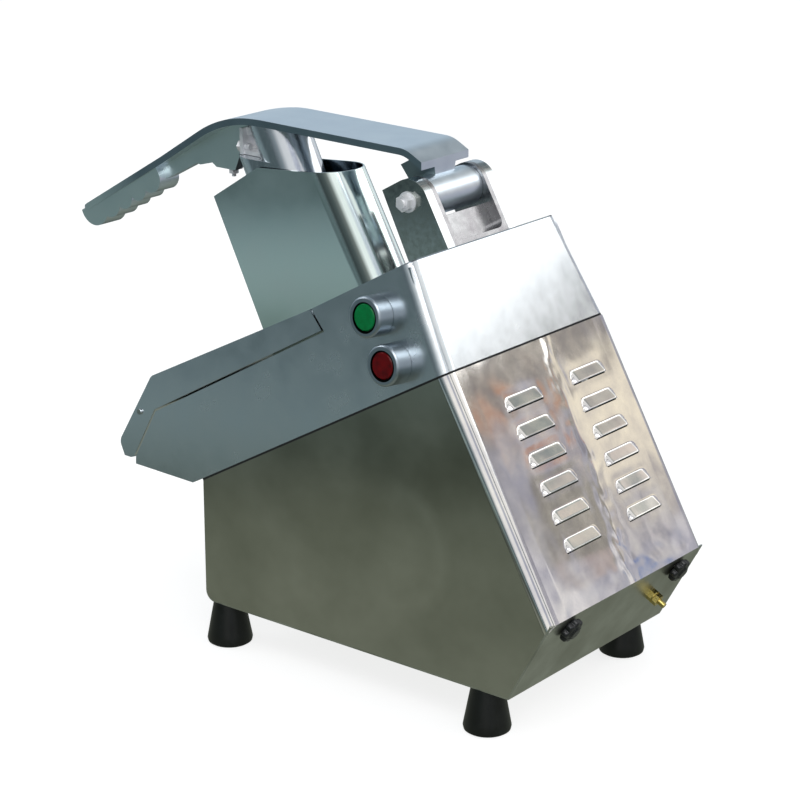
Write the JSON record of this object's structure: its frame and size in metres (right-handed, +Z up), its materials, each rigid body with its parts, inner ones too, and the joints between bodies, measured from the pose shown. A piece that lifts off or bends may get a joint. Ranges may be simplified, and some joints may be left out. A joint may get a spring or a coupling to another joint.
{
  "type": "vegetable cutting machine",
  "caption": "Bench-top vegetable cutter: sloping steel body with louvred end, cast head with downward chute, hinged lid with tall feed hopper, and a pusher worked by a long hand lever.",
  "frame": {"origin": "middle of the footprint of the whole machine, on the surface it stands on", "axes": "+X from the chute and lever end towards the louvred end, +Y across the machine towards the hinged side of the lid, +Z up"},
  "size_m": [0.6354, 0.2531, 0.4685],
  "materials": {
    "brushed_steel_sheet": "fine brushed, half polished",
    "polished_steel_sheet": "mirror-polished stainless sheet",
    "satin_steel_sheet": "satin stainless sheet",
    "cast_head": "satin blasted and brushed casting",
    "cast_lever": "polished casting",
    "steel_fittings": "bright turned steel",
    "polished_bezel": "polished",
    "green_cap": "gloss",
    "red_cap": "gloss",
    "black_rubber": "matte",
    "black_plastic": "matte moulded",
    "brass_terminal": "bright",
    "drive_steel": "machined",
    "drive_aluminium": "machined",
    "magnet": "plated"
  },
  "bodies": {
    "machine": {"body_shell": "brushed_steel_sheet", "base_pan": "brushed_steel_sheet", "louvre_cover": "polished_steel_sheet", "feet": "black_rubber", "foot_screws": "steel_fittings", "deck_plate": "drive_steel", "head_gasket": "black_rubber", "head_housing": "cast_head", "head_screws": "steel_fittings", "chamber_wall": "satin_steel_sheet", "head_hinge_leaves": "steel_fittings", "hinge_pins": "steel_fittings", "hinge_screws": "steel_fittings", "bearing_housing": "drive_aluminium", "shaft_bearings": "drive_steel", "shaft_seal": "black_rubber", "housing_screws": "steel_fittings", "drive_belt": "black_rubber", "motor_bracket": "drive_steel", "bracket_spacers": "steel_fittings", "motor_body": "drive_aluminium", "motor_stator": "drive_steel", "run_capacitor": "drive_aluminium", "contactor": "black_plastic", "interlock_switch": "black_plastic", "button_bezels": "polished_bezel", "button_nuts": "black_plastic", "contact_blocks": "black_plastic", "knob_studs": "steel_fittings", "earth_terminal": "brass_terminal", "cable_gland": "black_plastic"},
    "lid_assembly": {"lid": "cast_head", "outlet_guard_rod": "steel_fittings", "lid_hinge_leaves": "steel_fittings", "hopper": "satin_steel_sheet", "clevis": "cast_lever", "clevis_screws": "steel_fittings", "pivot_bolt": "steel_fittings", "pivot_nut": "steel_fittings", "lid_magnet": "magnet"},
    "lever_assembly": {"lever": "cast_lever", "pusher": "satin_steel_sheet", "pusher_bracket": "cast_lever", "pusher_bolts": "steel_fittings", "stop_screw": "steel_fittings"},
    "start_push": {"start_button": "green_cap"},
    "stop_push": {"stop_button": "red_cap"},
    "knob_near_turn": {"knob_near": "black_plastic"},
    "knob_far_turn": {"knob_far": "black_plastic"},
    "cutter": {"cutting_disc": "drive_steel", "slicing_blades": "drive_steel", "blade_screws": "steel_fittings", "disc_nut": "steel_fittings", "ejector_plate": "drive_aluminium", "drive_shaft": "drive_steel", "driven_pulley": "drive_aluminium"},
    "rotor": {"motor_rotor": "drive_steel", "motor_pulley": "drive_aluminium", "cooling_fan": "black_plastic"}
  },
  "joints": [
    {"name": "lid_hinge", "type": "hinge", "parent": "machine", "child": "lid_assembly", "pos_m": [0.01905, 0.11417, 0.31577], "axis": [-0.8721, 0, -0.4894], "range_deg": [0, 95]},
    {"name": "lever_pivot", "type": "hinge", "parent": "lid_assembly", "child": "lever_assembly", "pos_m": [0.11144, 0.00417, 0.42495], "axis": [0, 1, 0], "range_deg": [0, 70]},
    {"name": "start_press", "type": "slide", "parent": "machine", "child": "start_push", "axis": [0.0565, 0.9933, -0.1007], "range_m": [0, 0.004], "stiffness_N_per_m": 800, "springref_m": -0.003},
    {"name": "stop_press", "type": "slide", "parent": "machine", "child": "stop_push", "axis": [0.0565, 0.9933, -0.1007], "range_m": [0, 0.004], "stiffness_N_per_m": 800, "springref_m": -0.003},
    {"name": "knob_near_spin", "type": "hinge", "parent": "machine", "child": "knob_near_turn", "pos_m": [0.30956, -0.07783, 0.10175], "axis": [0.8786, 0, -0.4776], "continuous": true},
    {"name": "knob_far_spin", "type": "hinge", "parent": "machine", "child": "knob_far_turn", "pos_m": [0.30956, 0.08617, 0.10175], "axis": [0.8786, 0, -0.4776], "continuous": true},
    {"name": "cutter_spin", "type": "hinge", "parent": "machine", "child": "cutter", "pos_m": [0.0322, 0.00417, 0.28416], "axis": [-0.4894, 0, 0.8721], "continuous": true},
    {"name": "rotor_spin", "type": "hinge", "parent": "machine", "child": "rotor", "pos_m": [0.17667, 0.00417, 0.23107], "axis": [-0.4894, 0, 0.8721], "continuous": true}
  ],
  "couplings": [
    {"joint": "rotor_spin", "follows": "cutter_spin", "ratio": 4.125}
  ]
}
